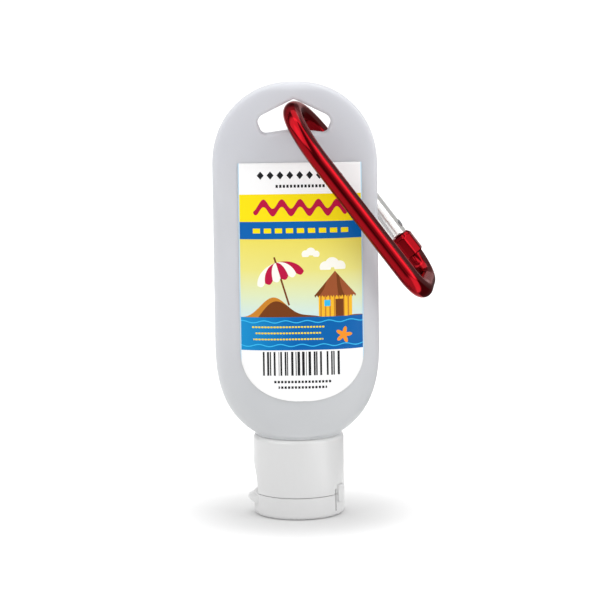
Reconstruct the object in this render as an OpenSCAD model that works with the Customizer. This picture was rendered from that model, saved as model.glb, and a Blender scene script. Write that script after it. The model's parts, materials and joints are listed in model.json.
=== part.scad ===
// Flat refillable travel bottle that stands upside down on its flip-top cap,
// with a hang hole in its tab and a small snap hook through the hole.
// Millimetres, +Z up, front of the bottle towards -Y.
// The origin is the middle of the flat face that the bottle stands on.

/* [Bottle] */
// Width of the bottle across its straight sides
body_w = 43.5; // [40:0.5:50]
// How far the bottle's front and back swell out beyond the cap's side
belly_out = 0.3; // [0.1:0.05:1]
// Height of the bottle from its shoulder to the top of its tab
body_h = 93.4; // [91:0.5:98]
// Wall of the blown bottle
wall = 1.0; // [0.8:0.1:1.3]
// Height of the rounded arch at the top
arch_h = 22.1; // [20:0.5:24]
// Roundness of the arch, 2 is an ellipse
arch_n = 2.1; // [2:0.1:3]
// Height over which the sides draw in to the shoulder
foot_h = 24.2; // [22:0.5:27]
// Roundness of the lower corners
foot_n = 2.5; // [2.2:0.1:3]
// How far the round shoulder lies inside the cap's side
shoulder_in = 0.3; // [0.1:0.05:0.6]
// How far the collar under the shoulder lies inside the shoulder
collar_in = 0.7; // [0.5:0.05:0.9]

/* [Tab] */
// Thickness of the flat tab
tab_t = 4.5; // [4:0.1:5]
// Height of the solid tab above the hollow
tab_h = 18; // [17:0.5:20]
// Half width of the hang hole
hole_half = 9.6; // [9:0.1:10.5]
// Radius of the hang hole's round ends
hole_end_r = 2.4; // [2.2:0.1:2.6]
// Distance from the tab's top to the hole's apex
hole_drop = 4.4; // [4:0.1:5]
// Slope of the hole's upper edges
hole_slope = 26.3; // [24:0.1:28]
// Height of the hole in its middle
hole_gap = 8.3; // [8.2:0.1:9]
// Radius of the hole's lower corners
hole_corner_r = 1.7; // [1.4:0.1:1.9]
// How far the lower corners reach below the middle of the floor
corner_drop = 0.95; // [0.5:0.05:1.2]

/* [Neck] */
// Room for the screw thread between the neck and the cap
thread_gap = 1.35; // [1.25:0.05:1.5]
// Wall of the neck
neck_t = 1.65; // [1.5:0.05:1.8]

/* [Cap] */
// Outer radius of the cap
cap_r = 12; // [11.8:0.1:13]
// Height of the cap with its lid
cap_h = 21.6; // [21:0.1:23]
// Height of the flip lid
lid_h = 5.9; // [5.6:0.1:6.6]
// Wall of the cap's skirt
skirt_t = 1.7; // [1.6:0.1:1.9]
// Wall of the lid
lid_t = 1.3; // [1.2:0.1:1.6]
// Thickness of the cap's deck and of the lid's plate
deck_t = 1.2; // [1:0.1:1.5]
// Radius of the cap's rounded rims
cap_round = 1.2; // [0.9:0.1:1.2]
// Radius of the spout
spout_r = 3.4; // [3:0.1:4]
// Radius of the pouring hole
orifice_r = 1.5; // [1.2:0.1:1.8]
// Height of the spout over the deck
spout_h = 2.4; // [2:0.1:3]
// How far the thumb tab stands out
thumb_out = 1.6; // [1.2:0.1:2]
// Height of the thumb tab's root
thumb_h = 3; // [2.6:0.1:3.4]
// Radius of the thumb tab seen from above
thumb_r = 6; // [5:0.1:7]
// Depth of the thumb scoop in the skirt
scoop_in = 0.9; // [0.5:0.05:1]
// Radius of the thumb scoop's upright curve
scoop_r = 23; // [20:0.5:26]
// Thickness of the soft seal in the cap
seal_t = 0.8; // [0.6:0.1:1.2]

/* [Cap hinge] */
// Half angle of the hinge panel round the cap
panel_half = 36; // [35:1:40]
// Width of the slits at the panel's sides
slit_w = 0.7; // [0.5:0.1:0.9]
// Half angle of the thin middle film
film_half = 13; // [10:1:14]
// Thickness of the film
film_t = 0.4; // [0.3:0.05:0.5]
// Height of the film
film_h = 0.9; // [0.7:0.1:1.2]
// Half angle of each snap strap
strap_half = 7.5; // [5:0.5:8]
// Height of each snap strap
strap_h = 4.6; // [4:0.1:5]
// How far the snap straps stand out of the wall
strap_out = 0.45; // [0.2:0.05:0.5]

/* [Label] */
// Width of the front label
label_w = 32.6; // [30:0.2:34]
// Height of the front label
label_h = 62.2; // [60:0.2:64]
// Height of the label's rounded lower end
label_round = 14; // [12:0.5:16]
// Distance from the shoulder to the label's lowest point
label_up = 10; // [9:0.1:11]
// How far the label sits to the right of the middle
label_shift = 1.3; // [0:0.1:2]
// Thickness of the label
label_t = 0.15; // [0.1:0.05:0.2]

/* [Snap hook] */
// Length of the snap hook
ring_l = 62.8; // [61:0.1:66]
// Distance between the middles of its two long sides
ring_w = 22; // [21.5:0.1:24]
// Diameter of its rod
rod_d = 5.0; // [4.6:0.1:5.1]
// Diameter of the gate
gate_d = 4.7; // [4.5:0.1:4.8]
// Distance from the hook's top to the end of its nose
nose_s = 13.8; // [13:0.1:15]
// Distance from the hook's top to the pivot block
block_s = 47.5; // [46.5:0.1:49]
// Width of the pivot block across its flats
block_w = 5.8; // [5.4:0.1:6]
// Length of the pivot block
block_l = 6.4; // [5.6:0.1:6.8]
// Lean of the snap hook from straight down
hang_deg = 36.5; // [35:0.5:42]
// Twist of the snap hook about its own length
twist_deg = 7; // [0:0.5:8]
// Diameter of the gate's rivet
rivet_d = 1.3; // [1.1:0.1:1.4]
// Diameter of the cross pin at the gate's tip
nose_pin_d = 1.0; // [0.8:0.1:1.1]
// Chamfer round the end of the nose
nose_chamfer = 0.4; // [0.3:0.1:0.6]
// Thickness of the two tongues
tongue_t = 2.0; // [1.8:0.1:2.2]
// How far the lower tongue reaches inwards from the rivet's middle
tongue_in = 1.2; // [1.1:0.05:1.25]
// Diameter of the spring's bore in the gate
bore_d = 2.9; // [2.6:0.1:3]
// Depth of the spring's bore
bore_l = 13; // [11:0.5:16]

/* [Clearances] */
// Gap between pieces that turn or lie close
gap = 0.3; // [0.25:0.05:0.35]
// Gap at the seam between lid and cap
seam = 0.15; // [0.1:0.05:0.2]
// Gap round pins and other running fits
fit = 0.05; // [0.03:0.01:0.08]
// Gap between the hook's rod and the sides of the hang hole's apex
hook_gap = 0.55; // [0.5:0.01:0.65]
// How far the hook's rod hangs to the left of the hole's apex
hook_side = 0.3; // [0:0.05:0.4]

/* [Hidden] */
$fn = 64;
eps = 0.02;

// Heights up the bottle
rim_gap = 0.7;
base_z = lid_h + seam;
deck_z = lid_h + gap;
deck_top = deck_z + deck_t;
lip_z = deck_top + seal_t + fit;
shoulder_z = cap_h + rim_gap;
foot_z = shoulder_z + foot_h;
top_z = shoulder_z + body_h;
arch_z = top_z - arch_h;
tab_z = top_z - tab_h;
half_w = body_w / 2;
half_d = cap_r + belly_out;
shoulder_r = cap_r - shoulder_in;
thread_r = cap_r - skirt_t;
neck_r = thread_r - thread_gap;
bore_r = neck_r - neck_t;

// Roundness of the bottle's section in its body and in its tab
body_n = 2.7;
tab_n = 6;
// The tab's rounded edge, and how the wedge swells below the tab
edge_h = 2.2;
wedge_start = 0.12;
wedge_power = 1.35;
blend_h = 24;
// Share of the lower corner's curve that is used before the shoulder cuts it
foot_cut = pow(1 - pow(shoulder_r / half_w, foot_n), 1 / foot_n);

function mix(a, b, t) = a + (b - a) * t;
function clamp01(t) = min(1, max(0, t));
function smooth(t) = let (s = clamp01(t)) s * s * (3 - 2 * s);
// Quarter of a superellipse: 1 at t = 0, falling to 0 at t = 1
function bulge(t, n) = pow(max(0, 1 - pow(min(1, abs(t)), n)), 1 / n);
// A straight rise with a soft start
function soft_rise(t) =
    t < wedge_start ? t * t / (2 * wedge_start) / (1 - wedge_start / 2)
    : (t - wedge_start / 2) / (1 - wedge_start / 2);

// Half width of the bottle at a height
function half_width(z) =
    z > arch_z ? half_w * bulge((z - arch_z) / arch_h, arch_n)
    : z < foot_z ? half_w * bulge(foot_cut * (foot_z - z) / foot_h, foot_n)
    : half_w;

// Half thickness in the middle at a height: a wedge that runs out into the flat tab
function half_depth(z) =
    z < foot_z ? mix(shoulder_r, half_d, bulge((foot_z - z) / foot_h, 2))
    : mix(tab_t / 2, half_d,
        1 - pow(1 - soft_rise(clamp01((tab_z - z) / (tab_z - foot_z))), wedge_power));

// A circle at the shoulder, then a flat oval, then a plate with round edges
function section_n(z) =
    z < foot_z ? mix(2, body_n, smooth((z - shoulder_z) / foot_h))
    : mix(body_n, tab_n, smooth((z - tab_z + blend_h) / blend_h));

function edge_round(z) = bulge(max(0, z - top_z + edge_h) / edge_h, 2);

// Depth of the front face at a place
function face_depth(x, z) =
    half_depth(z) * edge_round(z) * bulge(x / half_width(z), section_n(z));

// One ring of points round a section
function ring(w, d, n, z, count) =
    [for (i = [0:count - 1])
        let (a = 360 * i / count, c = cos(a))
        [w * c, sign(sin(a)) * (abs(sin(a)) < eps ? 0 : d * bulge(c, n)), z]];

// Faces of a solid made of rings that stand one above the other
function loft_faces(rings, count) = concat(
    [[for (i = [0:count - 1]) i]],
    [for (j = [0:rings - 2], i = [0:count - 1], half = [0, 1])
        let (a = j * count + i, b = j * count + (i + 1) % count)
        half == 0 ? [a, a + count, b + count] : [a, b + count, b]],
    [[for (i = [count - 1:-1:0]) (rings - 1) * count + i]]);

module loft(rings) {
    polyhedron(points = [for (r = rings) each r],
        faces = loft_faces(len(rings), len(rings[0])), convexity = 6);
}

// Heights of the rings: even up the foot and the body, closer towards the arch's top
foot_rings = 10;
body_rings = 12;
arch_rings = 16;
top_share = 86 / 90;
outer_heights = concat(
    [for (i = [0:foot_rings - 1]) shoulder_z + foot_h * i / foot_rings],
    [for (i = [0:body_rings - 1]) mix(foot_z, arch_z, i / body_rings)],
    [for (i = [0:arch_rings]) arch_z + arch_h * sin(90 * top_share * i / arch_rings)]);

module bottle_skin() {
    loft([for (z = outer_heights)
        ring(half_width(z), half_depth(z) * edge_round(z), section_n(z), z, 48)]);
}

// The hollow follows the skin one wall inside it and closes in a round end below the tab
hollow_top = tab_z - wall;
hollow_end = 8;
hollow_low = 16;
hollow_up = 9;
hollow_bottom = shoulder_z + wall;
hollow_heights = concat(
    [for (i = [0:hollow_low - 1]) mix(hollow_bottom, hollow_top - hollow_end, i / hollow_low)],
    [for (i = [0:hollow_up]) hollow_top - hollow_end + hollow_end * sin(84 * i / hollow_up)]);
function hollow_close(z) = bulge(max(0, z - hollow_top + hollow_end) / hollow_end, 2);

module hollow() {
    loft([for (z = hollow_heights)
        ring((half_width(z) - wall) * mix(0.6, 1, hollow_close(z)),
            (half_depth(z) - wall) * hollow_close(z), section_n(z), z, 40)]);
}

// Hang hole: a shallow chevron with round ends and a softened apex
hole_apex_z = top_z - hole_drop;
hole_floor_z = hole_apex_z - hole_gap;
hole_end_x = hole_half - hole_end_r;
hole_end_z = hole_apex_z - hole_end_x * tan(hole_slope) - hole_end_r / cos(hole_slope);
corner_in = 0.5;
corner_x = hole_half - corner_in - hole_corner_r;
corner_z = hole_floor_z - corner_drop + hole_corner_r;
floor_slope = atan(corner_drop / corner_x);
apex_soft = 0.5;

module hang_hole_outline() {
    top_x = hole_end_x + hole_end_r * sin(hole_slope);
    top_y = hole_end_z + hole_end_r * cos(hole_slope);
    soft_x = apex_soft * cos(hole_slope);
    soft_y = hole_apex_z - apex_soft * sin(hole_slope);
    low_x = corner_x - hole_corner_r * sin(floor_slope);
    low_y = corner_z - hole_corner_r * cos(floor_slope);
    polygon([[-top_x, top_y], [-soft_x, soft_y], [soft_x, soft_y], [top_x, top_y],
        [hole_half, hole_end_z], [hole_half - corner_in, corner_z], [low_x, low_y],
        [0, hole_floor_z], [-low_x, low_y], [corner_in - hole_half, corner_z],
        [-hole_half, hole_end_z]]);
    for (side = [-1, 1]) {
        translate([side * hole_end_x, hole_end_z])
            circle(r = hole_end_r);
        translate([side * corner_x, corner_z])
            circle(r = hole_corner_r);
    }
}

module hang_hole() {
    rotate([90, 0, 0])
        linear_extrude(height = 3 * tab_t, center = true)
            hang_hole_outline();
}

module bottle_body() color([0.84, 0.85, 0.87]) {
    difference() {
        union() {
            bottle_skin();
            translate([0, 0, lip_z])
                cylinder(r = neck_r, h = shoulder_z + wall / 2 - lip_z);
            translate([0, 0, cap_h + gap])
                cylinder(r = shoulder_r - collar_in, h = shoulder_z + wall / 2 - cap_h - gap);
        }
        hollow();
        translate([0, 0, lip_z - 1])
            cylinder(r = bore_r, h = hollow_bottom - lip_z + 2);
        hang_hole();
    }
}

// Front label: a thin skin that follows the bottle's face
label_low = shoulder_z + label_up;
label_top = label_low + label_h;
label_cols = 12;
label_end_rows = 7;
label_side_rows = 11;
label_n = 2.3;
label_glue = 0.1;
label_heights = concat(
    [for (i = [0:label_end_rows - 1])
        label_low + label_round * (1 - sin(84 - 84 * i / label_end_rows))],
    [for (i = [0:label_side_rows])
        mix(label_low + label_round, label_top, i / label_side_rows)]);
function label_half(z) =
    label_w / 2 * bulge(max(0, label_low + label_round - z) / label_round, label_n);
function label_row(z, off) =
    [for (i = [0:label_cols])
        let (x = label_shift + label_half(z) * (2 * i / label_cols - 1))
        [x, -face_depth(x, z) - off, z]];

module front_label() color([0.95, 0.86, 0.3]) {
    loft([for (z = label_heights)
        let (back = label_row(z, label_glue), face = label_row(z, label_glue + label_t))
        concat(face, [for (i = [label_cols:-1:0]) back[i]])]);
}

// A stretch of ring round the cap's axis
module arc_block(r0, r1, z0, z1, half, mid = 0) {
    rotate([0, 0, mid - half])
        rotate_extrude(angle = 2 * half)
            translate([r0, z0])
                square([r1 - r0, z1 - z0]);
}

// A tube's section with its outer corner rounded at the top
module rim_section(r0, r1, z0, z1, soft) {
    translate([r0, z0])
        square([r1 - r0, z1 - z0 - soft]);
    translate([r0, z0])
        square([r1 - r0 - soft, z1 - z0]);
    translate([r1 - soft, z1 - soft])
        intersection() {
            circle(r = soft);
            square(soft);
        }
}

plug_r = bore_r - fit;
plug_t = 0.9;
plug_h = 3.2;

// What the hinge takes out of the lid's and the cap's wall
strap_mid = (film_half + panel_half) / 2 + 0.5;
pocket_in = 0.6;
module hinge_cuts() {
    for (side = [-1, 1]) {
        rotate([0, 0, side * panel_half])
            translate([cap_r - lid_t * 0.8, -slit_w / 2, base_z - strap_h])
                cube([2 * lid_t, slit_w, strap_h + 1.4]);
        arc_block(cap_r - pocket_in, cap_r + 1, base_z - strap_h / 2, base_z + strap_h / 2,
            strap_half, side * strap_mid);
    }
    arc_block(cap_r - film_t - fit, cap_r + 1, base_z - film_h / 2 - fit,
        base_z + film_h / 2 + fit, film_half + 0.3);
}

module cap_base() color([0.93, 0.93, 0.93]) {
    difference() {
        union() {
            rotate_extrude()
                rim_section(thread_r, cap_r, base_z, cap_h, cap_round);
            translate([0, 0, deck_z])
                cylinder(r = cap_r - skirt_t + eps, h = deck_t);
            translate([0, 0, deck_z - spout_h])
                cylinder(r = spout_r, h = spout_h + eps);
            translate([0, 0, deck_top - eps])
                cylinder(r = plug_r, h = plug_h);
        }
        translate([0, 0, deck_z - spout_h - 1])
            cylinder(r = orifice_r, h = spout_h + deck_t + plug_h + 2);
        translate([0, 0, deck_top])
            cylinder(r = plug_r - plug_t, h = plug_h + 1);
        hinge_cuts();
        translate([-cap_r + scoop_in - scoop_r, 0, base_z + 1.2])
            rotate([90, 0, 0])
                cylinder(r = scoop_r, h = 2 * cap_r, center = true);
    }
}

module cap_seal() color([0.8, 0.82, 0.85]) {
    rotate_extrude()
        translate([bore_r + fit, deck_top])
            square([thread_r - gap - bore_r - fit, seal_t]);
}

plug_pin_r = orifice_r - gap / 2;
collar_t = 0.8;
module thumb_tab() {
    intersection() {
        rotate_extrude()
            polygon([[cap_r - lid_t / 2, lid_h - thumb_h],
                [cap_r + 0.5 * thumb_out, lid_h - 0.77 * thumb_h],
                [cap_r + thumb_out, lid_h - 0.5 * thumb_h],
                [cap_r + 0.9 * thumb_out, lid_h - thumb_h / 3],
                [cap_r, lid_h - gap], [cap_r - lid_t / 2, lid_h - gap]]);
        translate([-cap_r - thumb_out + thumb_r, 0, 0])
            cylinder(r = thumb_r, h = lid_h);
    }
}

module flip_lid() color([0.92, 0.92, 0.92]) {
    difference() {
        union() {
            translate([0, 0, lid_h])
                mirror([0, 0, 1])
                    rotate_extrude()
                        rim_section(cap_r - lid_t, cap_r, 0, lid_h, cap_round);
            cylinder(r = cap_r - cap_round, h = deck_t);
            translate([0, 0, deck_t - eps])
                cylinder(r = plug_pin_r, h = lid_h - 0.6 - deck_t - plug_pin_r);
            translate([0, 0, lid_h - 0.6 - plug_pin_r - eps])
                sphere(r = plug_pin_r);
            rotate_extrude()
                translate([spout_r + gap, deck_t - eps])
                    square([collar_t, lid_h - spout_h - deck_t + 0.9]);
            thumb_tab();
        }
        hinge_cuts();
    }
}

module hinge_film() color([0.9, 0.9, 0.9]) {
    arc_block(cap_r - film_t, cap_r, base_z - film_h / 2, base_z + film_h / 2, film_half);
}

module hinge_straps() color([0.9, 0.9, 0.9]) {
    for (side = [-1, 1])
        arc_block(cap_r - pocket_in + fit, cap_r + strap_out, base_z - strap_h / 2 + fit,
            base_z + strap_h / 2 - fit, strap_half - 0.3, side * strap_mid);
}

// The snap hook is drawn in its own upright plane: its rod's top middle at the origin, the
// spine at -X, the gate at +X. It is then leaned, twisted and set in the hang hole's apex.
rod_r = rod_d / 2;
gate_r = gate_d / 2;
gate_x = ring_w / 2;
hook_z = hole_apex_z - (rod_r + hook_gap) / cos(hole_slope) - hook_side * tan(hole_slope);
module in_hole() {
    translate([-hook_side, 0, hook_z])
        rotate([0, -hang_deg, 0])
            rotate([0, 0, 90 - twist_deg])
                children();
}

// Bends of the rod: long easy shoulders and two tighter corners at the low end
shoulder_bend = 16;
bend_deg = 35;
low_r = 6.5;
corner_r = 8;
end_bend = (gate_x - shoulder_bend * (1 - cos(bend_deg))) / cos(bend_deg);
bottom_z = -(ring_l - rod_d);
top_straight_z = -end_bend + (end_bend - shoulder_bend) * sin(bend_deg);
nose_z = -(nose_s - rod_r);
block_z = -(block_s - rod_r);
pivot_z = block_z + gate_r + gap;
nose_deg = asin((nose_z - top_straight_z) / shoulder_bend);
tongue_l = 3.3;
nose_pin_x = gate_x - 0.6;
nose_pin_z = nose_z - 1.9;

// Middle points of the rod along its bends, each with the outward direction there
function arc_path(x, z, r, from, to, steps) =
    [for (i = [0:steps]) let (a = from + (to - from) * i / max(1, steps))
        [x + r * cos(a), z + r * sin(a), a]];
rod_sides = 20;
chamfer_deg = 180 / PI * nose_chamfer / shoulder_bend;
rod_path = concat(
    arc_path(gate_x - shoulder_bend, top_straight_z, shoulder_bend, nose_deg, nose_deg, 0),
    arc_path(gate_x - shoulder_bend, top_straight_z, shoulder_bend, nose_deg + chamfer_deg,
        bend_deg, 3),
    arc_path(0, -end_bend, end_bend, bend_deg + 9, 180 - bend_deg, 11),
    arc_path(shoulder_bend - gate_x, top_straight_z, shoulder_bend, 180 - bend_deg + 9, 180, 3),
    arc_path(low_r - gate_x, bottom_z + low_r, low_r, 180, 270, 9),
    arc_path(gate_x - corner_r, bottom_z + corner_r, corner_r, 270, 360, 9),
    [[gate_x, block_z - block_l / 2, 360]]);

module rod() {
    loft([for (j = [0:len(rod_path) - 1])
        let (p = rod_path[j], r = j == 0 ? rod_r - nose_chamfer : rod_r)
        [for (i = [0:rod_sides - 1])
            let (a = 360 * i / rod_sides, out = r * cos(a))
            [p[0] + out * cos(p[2]), r * sin(a), p[1] + out * sin(p[2])]]]);
}

module bar(x, z0, z1, d) {
    translate([x, 0, z0])
        cylinder(d = d, h = z1 - z0);
}

module cross_pin(x, z, r, l) {
    translate([x, 0, z])
        rotate([90, 0, 0])
            cylinder(r = r, h = l, center = true);
}

module nose_tongue() {
    difference() {
        translate([nose_pin_x - 1, -tongue_t / 2, nose_z - tongue_l])
            cube([2.4 + 0.6, tongue_t, tongue_l + 1.4]);
        cross_pin(nose_pin_x, nose_pin_z, nose_pin_d / 2 + 2 * fit, 2 * tongue_t);
        translate([nose_pin_x - 2, -tongue_t, nose_pin_z - nose_pin_d / 2 - 2 * fit])
            cube([2, 2 * tongue_t, nose_pin_d + 4 * fit]);
    }
}

module pivot_block() {
    translate([gate_x, 0, block_z - block_l])
        intersection() {
            rotate([0, 0, 22.5])
                cylinder(r = block_w / 2 / cos(22.5), h = block_l, $fn = 8);
            rotate_extrude()
                polygon([[0, -1], [block_w, -1], [block_w * 0.58, block_l - 1.4],
                    [rod_r * 0.96, block_l], [0, block_l]]);
        }
}

module pivot_tongue() {
    difference() {
        intersection() {
            union() {
                translate([gate_x - gate_r, -tongue_t / 2, block_z - 1])
                    cube([gate_d - gap, tongue_t, pivot_z - block_z + 1]);
                cross_pin(gate_x, pivot_z, gate_r - gap, tongue_t);
            }
            translate([gate_x - tongue_in, -tongue_t, block_z - 2])
                cube([gate_d, 2 * tongue_t, gate_d + 4]);
        }
        cross_pin(gate_x, pivot_z, rivet_d / 2 + fit / 2, 2 * tongue_t);
    }
}

module hook_body() color([0.78, 0.04, 0.1]) {
    in_hole() {
        rod();
        pivot_block();
        nose_tongue();
        pivot_tongue();
    }
}

slot_w = tongue_t + gap;
slot_top = pivot_z + gate_r + gap;
tip_z = nose_z - gap;

// The gate's foot is square, with a soft edge that clears the block as the gate opens
foot_r = 1;
module gate_foot() {
    low = pivot_z - gate_r;
    translate([gate_x - gate_d, -gate_d, low + foot_r])
        cube([2 * gate_d, 2 * gate_d, tip_z - low]);
    translate([gate_x - gate_r + foot_r, -gate_d, low - 1])
        cube([gate_d - 2 * foot_r, 2 * gate_d, 2 + foot_r]);
    for (side = [-1, 1])
        cross_pin(gate_x + side * (gate_r - foot_r), low + foot_r, foot_r, 2 * gate_d);
}

module hook_gate() color([0.8, 0.81, 0.82]) {
    in_hole()
        difference() {
            intersection() {
                bar(gate_x, pivot_z - gate_r, tip_z, gate_d);
                gate_foot();
            }
            translate([gate_x - gate_d, -slot_w / 2, nose_z - tongue_l - gap])
                cube([2 * gate_d, slot_w, tongue_l + gap + 1]);
            translate([gate_x - tongue_in - 1.5 * gap, -slot_w / 2, pivot_z - gate_d])
                cube([2 * gate_d, slot_w, gate_d + slot_top - pivot_z]);
            bar(gate_x, pivot_z + gate_r - gap, slot_top + bore_l, bore_d);
            cross_pin(gate_x, pivot_z, rivet_d / 2 + fit, 2 * gate_d);
            cross_pin(nose_pin_x, nose_pin_z, nose_pin_d / 2 + fit / 2, 2 * gate_d);
        }
}

rivet_head_r = 1.05;
rivet_head_t = 0.35;
module gate_rivet() color([0.75, 0.76, 0.78]) {
    in_hole() {
        cross_pin(gate_x, pivot_z, rivet_d / 2, gate_d + 2 * rivet_head_t);
        for (side = [-1, 1])
            translate([gate_x, side * (gate_r + fit + rivet_head_t / 2), pivot_z])
                rotate([90, 0, 0])
                    cylinder(r = rivet_head_r, h = rivet_head_t, center = true);
    }
}

module gate_nose_pin() color([0.7, 0.71, 0.73]) {
    in_hole()
        cross_pin(nose_pin_x, nose_pin_z, nose_pin_d / 2, gate_d - 2 * gap);
}

plunger_l = 5;
plunger_r = bore_d / 2 - fit;
module gate_plunger() color([0.72, 0.65, 0.4]) {
    in_hole()
        bar(gate_x, pivot_z + gate_r - gap + fit, pivot_z + gate_r - gap + fit + plunger_l,
            2 * plunger_r);
}

spring_wire = 0.4;
module gate_spring() color([0.6, 0.6, 0.62]) {
    spring_z = pivot_z + gate_r - gap + 2 * fit + plunger_l;
    in_hole()
        translate([gate_x, 0, spring_z])
            difference() {
                cylinder(r = plunger_r, h = slot_top + bore_l - spring_z - fit);
                translate([0, 0, -1])
                    cylinder(r = plunger_r - spring_wire, h = 2 * bore_l);
            }
}

bottle_body();
front_label();
cap_base();
cap_seal();
flip_lid();
hinge_film();
hinge_straps();
hook_body();
hook_gate();
gate_rivet();
gate_nose_pin();
gate_spring();
gate_plunger();
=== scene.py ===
import json
import math

import bmesh
import bpy
import numpy as np
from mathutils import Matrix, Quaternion, Vector


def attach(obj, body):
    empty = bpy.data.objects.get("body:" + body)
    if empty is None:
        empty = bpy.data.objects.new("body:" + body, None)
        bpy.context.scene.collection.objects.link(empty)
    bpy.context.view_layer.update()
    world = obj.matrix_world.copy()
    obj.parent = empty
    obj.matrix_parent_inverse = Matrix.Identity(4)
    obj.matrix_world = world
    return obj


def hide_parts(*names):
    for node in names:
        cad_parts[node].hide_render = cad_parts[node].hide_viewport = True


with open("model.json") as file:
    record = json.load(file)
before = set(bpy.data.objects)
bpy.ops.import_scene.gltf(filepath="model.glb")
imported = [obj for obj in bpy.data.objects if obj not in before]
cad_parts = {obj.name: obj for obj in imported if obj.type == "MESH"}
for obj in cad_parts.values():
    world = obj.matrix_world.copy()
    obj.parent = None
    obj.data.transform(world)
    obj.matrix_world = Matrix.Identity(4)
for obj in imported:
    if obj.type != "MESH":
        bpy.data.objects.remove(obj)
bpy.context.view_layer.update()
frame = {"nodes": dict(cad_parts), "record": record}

scene = bpy.context.scene
mm = 0.001

# camera

cameraView = {
    "aim": (0.9, 0.0, 57.25),    # mm, the point in the middle of the picture
    "elevation": 10.3,           # degrees above the horizon
    "distance": 1500.0,          # mm
    "frameWidth": 159.0,         # mm that the picture spans at the aim point
    "roll": 0.84,                # degrees
    "sensor": 36.0,              # mm
    "clip": (0.05, 60.0),        # m, the nearest and the farthest that is drawn
}


def makeCamera(view):
    data = bpy.data.cameras.new("camera")
    data.sensor_width = view["sensor"]
    data.lens = view["sensor"] * view["distance"] / view["frameWidth"]
    data.clip_start, data.clip_end = view["clip"]
    camera = bpy.data.objects.new("camera", data)
    scene.collection.objects.link(camera)
    tilt = math.radians(view["elevation"])
    back = Vector((0, -math.cos(tilt), math.sin(tilt)))
    camera.location = (Vector(view["aim"]) + back * view["distance"]) * mm
    camera.rotation_mode = "QUATERNION"
    turn = (-back).to_track_quat("-Z", "Y")
    camera.rotation_quaternion = turn @ Quaternion((0, 0, 1), math.radians(-view["roll"]))
    scene.camera = camera


makeCamera(cameraView)
scene.view_settings.view_transform = "Standard"
print("camera set")

# meshes from arrays


def gridFaces(rows, cols):
    # four corners of each cell between two rings, the last column joined to the first
    r, c = np.meshgrid(np.arange(rows - 1), np.arange(cols), indexing="ij")
    right = (c + 1) % cols
    return np.stack([r * cols + c, r * cols + right, (r + 1) * cols + right, (r + 1) * cols + c],
                    axis=-1).reshape(-1, 4)


def makeObject(name, points, faces, material, body, uvs=None, smooth=True):
    # points in millimetres and faces as corner numbers become a mesh that rides on the named body
    mesh = bpy.data.meshes.new(name)
    mesh.from_pydata((np.asarray(points, float) * mm).tolist(), [], [list(face) for face in faces])
    mesh.polygons.foreach_set("use_smooth", np.full(len(mesh.polygons), smooth))
    if uvs is not None:
        corner = np.zeros(len(mesh.loops), int)
        mesh.loops.foreach_get("vertex_index", corner)
        layer = mesh.uv_layers.new(name="along")
        layer.data.foreach_set("uv", np.asarray(uvs, float)[corner].ravel())
    mesh.materials.append(material)
    mesh.validate()
    piece = bpy.data.objects.new(name, mesh)
    scene.collection.objects.link(piece)
    if body:
        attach(piece, body)
    return piece


def sealedGrid(rings):
    # a stack of closed rings, with one flat face over the first and one over the last
    rows, cols = rings.shape[:2]
    faces = gridFaces(rows, cols).tolist()
    faces.append(list(range(cols))[::-1])
    faces.append([(rows - 1) * cols + i for i in range(cols)])
    return rings.reshape(-1, 3), faces


def addBevel(piece, width, angle=35):
    # two steps round every edge that is sharper than the angle, in degrees
    bevel = piece.modifiers.new("edges", "BEVEL")
    bevel.width, bevel.segments = width * mm, 2
    bevel.limit_method, bevel.angle_limit = "ANGLE", math.radians(angle)
    bevel.use_clamp_overlap = True


def fixNormals(piece):
    # all faces of a closed skin are turned outwards
    work = bmesh.new()
    work.from_mesh(piece.data)
    bmesh.ops.recalc_face_normals(work, faces=work.faces)
    work.to_mesh(piece.data)
    work.free()


def applyModifiers(piece):
    # the mesh as its modifiers leave it takes the place of the first one
    graph = bpy.context.evaluated_depsgraph_get()
    done = bpy.data.meshes.new_from_object(piece.evaluated_get(graph))
    old = piece.data
    piece.modifiers.clear()
    piece.data = done
    done.name = old.name
    bpy.data.meshes.remove(old)


def markSharp(piece, degrees):
    # the shading breaks at every edge that is sharper than this
    piece.data.set_sharp_from_angle(angle=math.radians(degrees))


def lengthAlong(line):
    # the distance of each point from the start of a flat line, measured along it
    return np.concatenate([[0], np.cumsum(np.hypot(*np.diff(line, axis=0).T))])


def evenSteps(line, count):
    # points on a closed flat line, spaced evenly along it
    run = lengthAlong(line)
    at = np.linspace(0, run[-1], count, endpoint=False)
    return np.stack([np.interp(at, run, column) for column in line.T], axis=-1)


# the bottle's shape

bottleShape = {
    "width": 43.5, "depth": 24.6, "height": 93.4, "wall": 1.0,
    "archHeight": 22.1, "archPower": 2.1, "footHeight": 24.2, "footPower": 2.5,
    "shoulderRadius": 11.7, "shoulderZ": 22.3, "bodyPower": 2.7, "tabPower": 6.0,
    "tabThickness": 4.5, "tabHeight": 18.0, "edgeHeight": 2.2, "blendHeight": 24.0,
    "wedgeStart": 0.12, "wedgePower": 1.35,
    "neckRadius": 8.95, "boreRadius": 7.3, "lipZ": 8.25, "hollowEnd": 8.0,
    "collarRadius": 11.45, "collarZ": 21.64,
}
bs = bottleShape
footZ = bs["shoulderZ"] + bs["footHeight"]
topZ = bs["shoulderZ"] + bs["height"]
archZ = topZ - bs["archHeight"]
tabZ = topZ - bs["tabHeight"]
halfW, halfD = bs["width"] / 2, bs["depth"] / 2
footCut = (1 - (bs["shoulderRadius"] / halfW) ** bs["footPower"]) ** (1 / bs["footPower"])


def bulge(t, n):
    # a quarter of a superellipse, (1 - |t|^n)^(1/n): 1 at t = 0, down to 0 at t = 1
    return np.maximum(0.0, 1 - np.minimum(1.0, np.abs(t)) ** n) ** (1 / n)


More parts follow.
